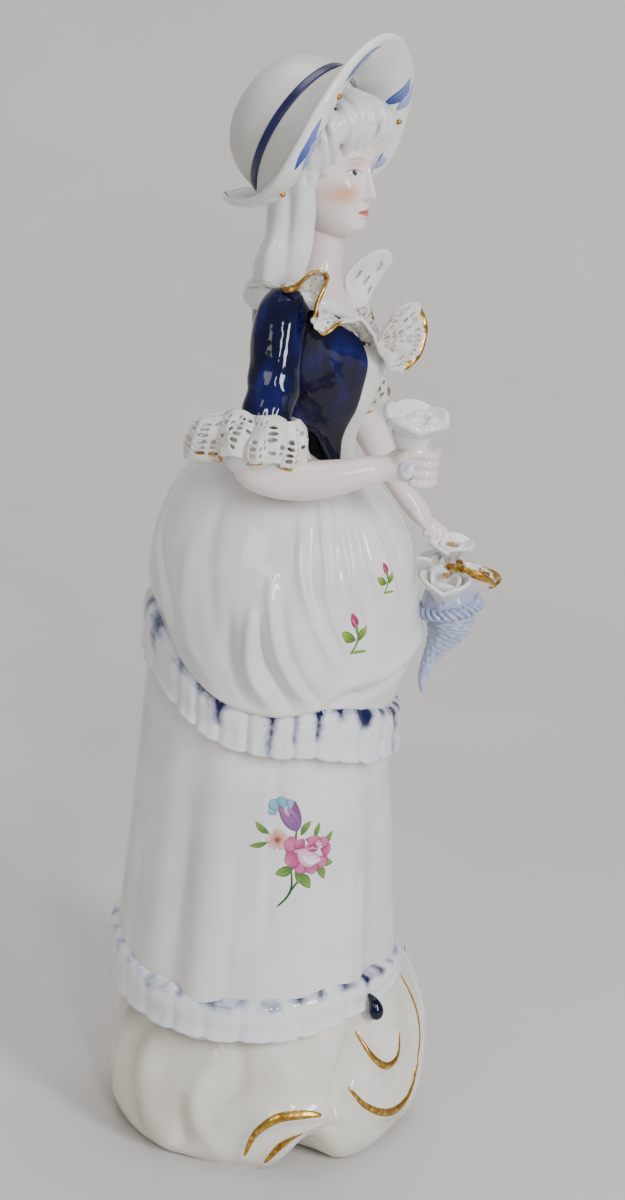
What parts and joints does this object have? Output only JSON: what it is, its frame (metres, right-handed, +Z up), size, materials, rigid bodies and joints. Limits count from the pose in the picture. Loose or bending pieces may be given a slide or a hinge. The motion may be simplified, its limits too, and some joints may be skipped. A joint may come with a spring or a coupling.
{
  "type": "porcelain lady figurine",
  "caption": "Standing lady in a bonnet, draped skirts, lace collar and cuffs, with a flower and a cornucopia, on a rococo mound.",
  "frame": {"origin": "centre of the mound's flat underside", "axes": "+Z up the figure, -Y the way the figure's front faces, -X towards its right hand"},
  "size_m": [0.0877, 0.0994, 0.2807],
  "materials": {
    "white_glaze": "clear gloss glaze over white porcelain",
    "flesh_glaze": "pale flesh glaze",
    "cobalt_glaze": "deep cobalt underglaze, high gloss",
    "pale_blue_glaze": "diluted cobalt wash under clear glaze",
    "gold_lustre": "gilded line over glaze",
    "lace_glaze": "slip-dipped lace, glazed"
  },
  "bodies": {
    "root": {"base": "white_glaze", "scrollwork": "gold_lustre", "right_shoe": "cobalt_glaze", "left_shoe": "cobalt_glaze", "underskirt": "white_glaze", "hem_frill": "pale_blue_glaze", "overskirt": "white_glaze", "overskirt_frill": "pale_blue_glaze", "bodice": "cobalt_glaze", "stomacher": "white_glaze", "bust": "flesh_glaze", "head": "flesh_glaze", "hair": "white_glaze", "side_lock": "white_glaze", "back_lock": "white_glaze", "hat": "white_glaze", "hat_band": "cobalt_glaze", "brim_buds": "gold_lustre", "right_sleeve": "cobalt_glaze", "right_cuff": "lace_glaze", "right_forearm": "flesh_glaze", "right_hand": "flesh_glaze", "hand_flower": "white_glaze", "left_sleeve": "cobalt_glaze", "left_cuff": "lace_glaze", "left_forearm": "flesh_glaze", "left_hand": "flesh_glaze", "basket": "pale_blue_glaze", "basket_rim": "pale_blue_glaze", "basket_flowers": "white_glaze", "collar": "lace_glaze", "collar_fan": "lace_glaze"}
  },
  "joints": []
}
